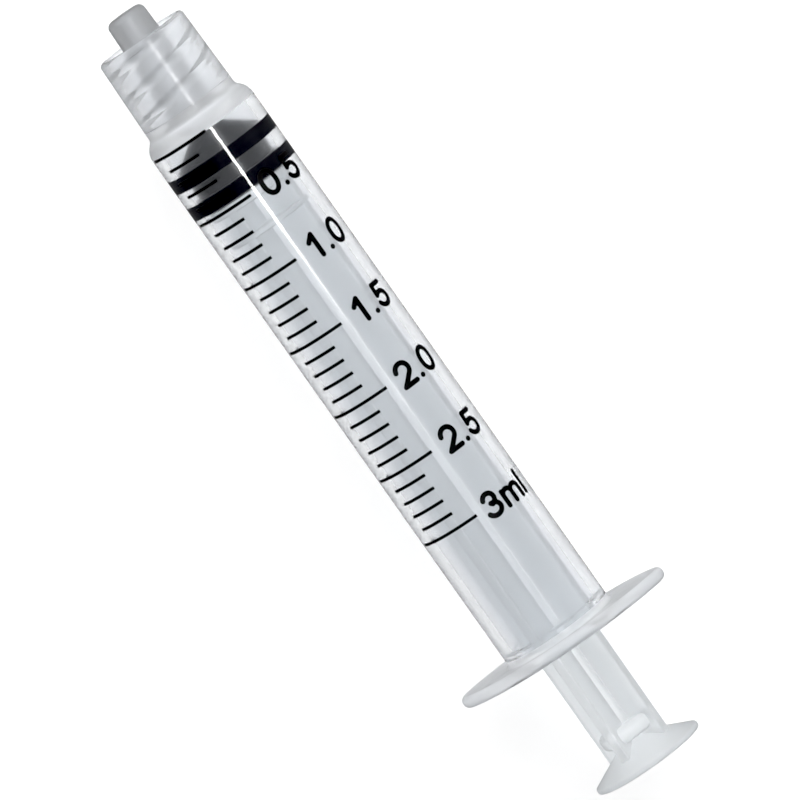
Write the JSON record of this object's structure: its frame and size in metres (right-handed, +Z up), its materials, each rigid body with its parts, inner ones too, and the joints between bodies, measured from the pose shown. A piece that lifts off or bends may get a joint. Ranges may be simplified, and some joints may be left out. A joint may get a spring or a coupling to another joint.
{
  "type": "luer lock syringe",
  "caption": "Clear 3 ml syringe with a fixed luer lock collar, black rubber piston, ribbed plunger rod and a printed scale.",
  "frame": {"origin": "on the floor under the barrel's axis, half way along the syringe at rest", "axes": "+X along the barrel from the nozzle to the thumb rest, +Y along the finger flange, +Z up"},
  "size_m": [0.0858, 0.0228, 0.0138],
  "materials": {
    "clear_plastic": "gloss",
    "rod_plastic": "satin",
    "black_rubber": "satin",
    "black_ink": "satin"
  },
  "bodies": {
    "barrel": {"barrel": "clear_plastic", "scale_ticks": "black_ink", "scale_numerals": "black_ink"},
    "piston": {"piston": "black_rubber"},
    "plunger_rod": {"plunger_rod": "rod_plastic"}
  },
  "joints": [
    {"name": "plunger_slide", "type": "slide", "parent": "barrel", "child": "piston", "axis": [1, 0, 0], "range_m": [-0.0024, 0.0494]},
    {"name": "rod_turn", "type": "hinge", "parent": "piston", "child": "plunger_rod", "pos_m": [0, 0, 0.0069], "axis": [1, 0, 0], "continuous": true}
  ]
}
